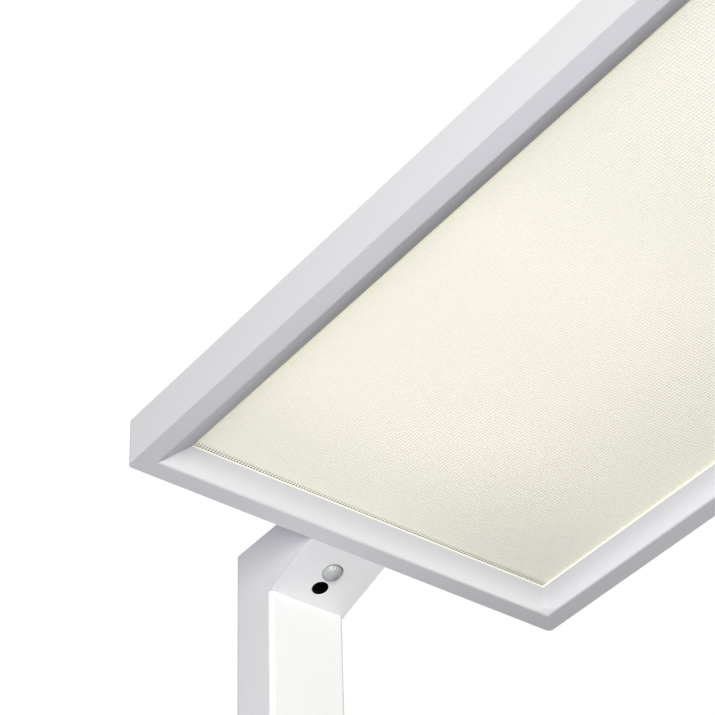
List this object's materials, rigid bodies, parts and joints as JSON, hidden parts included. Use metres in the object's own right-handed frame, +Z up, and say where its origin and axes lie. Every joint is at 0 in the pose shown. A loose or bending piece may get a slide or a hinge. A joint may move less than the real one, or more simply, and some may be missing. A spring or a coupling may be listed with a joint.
{
  "type": "office floor lamp",
  "caption": "Office floor lamp with a flat rectangular direct and indirect light head, held at one end by a wedge neck with sensors, on a slim rectangular column and a flat base plate.",
  "frame": {"origin": "on the floor, under the middle of the overall length and width", "axes": "+Z up, +X from the column towards the far end of the head, +Y to the left of +X"},
  "size_m": [0.737, 0.3, 1.95],
  "materials": {
    "white_steel": "fine white powder coat",
    "white_aluminium": "fine white powder coat",
    "plain_aluminium": "plain sheet",
    "zinc_steel": "zinc plated",
    "foot_rubber": "matt",
    "lead_rubber": "smooth",
    "black_plastic": "fine grain",
    "grey_plastic": "fine grain",
    "light_plastic": "smooth",
    "button_plastic": "satin",
    "circuit_board": "lacquered board",
    "frosted_lens": "translucent",
    "dark_window": "polished",
    "prism_acrylic": "fine prisms",
    "opal_film": "opal",
    "clear_acrylic": "satin clear"
  },
  "bodies": {
    "lamp": {"base_plate": "white_steel", "foot_pads": "foot_rubber", "foot_screws": "zinc_steel", "column": "white_aluminium", "cable_gland": "black_plastic", "gland_nut": "black_plastic", "carrier_plate": "zinc_steel", "mains_terminal": "light_plastic", "driver": "light_plastic", "driver_screws": "zinc_steel", "input_lead": "lead_rubber", "dc_lead": "lead_rubber", "sensor_lead": "lead_rubber", "control_lead": "lead_rubber", "control_bezel": "grey_plastic", "control_board": "circuit_board", "board_screws": "zinc_steel", "neck_shell": "white_aluminium", "neck_lid": "white_aluminium", "lid_screws": "zinc_steel", "neck_bracket": "zinc_steel", "neck_screws": "zinc_steel", "shell_screws": "zinc_steel", "sensor_carrier": "black_plastic", "sensor_board": "circuit_board", "presence_sensor": "zinc_steel", "presence_lens": "frosted_lens", "light_sensor": "black_plastic", "light_window": "dark_window", "rail_left": "white_aluminium", "rail_right": "white_aluminium", "rail_column_end": "white_aluminium", "rail_far_end": "white_aluminium", "corner_keys": "zinc_steel", "prismatic_panel": "prism_acrylic", "diffuser_film": "opal_film", "light_guide": "clear_acrylic", "reflector_sheet": "light_plastic", "led_bar_left": "circuit_board", "led_bar_right": "circuit_board", "head_tray": "plain_aluminium", "upper_led_boards": "circuit_board", "head_terminal": "light_plastic", "arm_nuts": "zinc_steel", "top_cover": "white_aluminium", "top_lens": "clear_acrylic", "cover_screws": "zinc_steel"},
    "power_button": {"button_power": "button_plastic"},
    "brighter_button": {"button_brighter": "button_plastic"},
    "dimmer_button": {"button_dimmer": "button_plastic"}
  },
  "joints": [
    {"name": "power_press", "type": "slide", "parent": "lamp", "child": "power_button", "axis": [-1, 0, 0], "range_m": [0, 0.001], "stiffness_N_per_m": 700, "springref_m": -0.001},
    {"name": "brighter_press", "type": "slide", "parent": "lamp", "child": "brighter_button", "axis": [-1, 0, 0], "range_m": [0, 0.001], "stiffness_N_per_m": 700, "springref_m": -0.001},
    {"name": "dimmer_press", "type": "slide", "parent": "lamp", "child": "dimmer_button", "axis": [-1, 0, 0], "range_m": [0, 0.001], "stiffness_N_per_m": 700, "springref_m": -0.001}
  ]
}
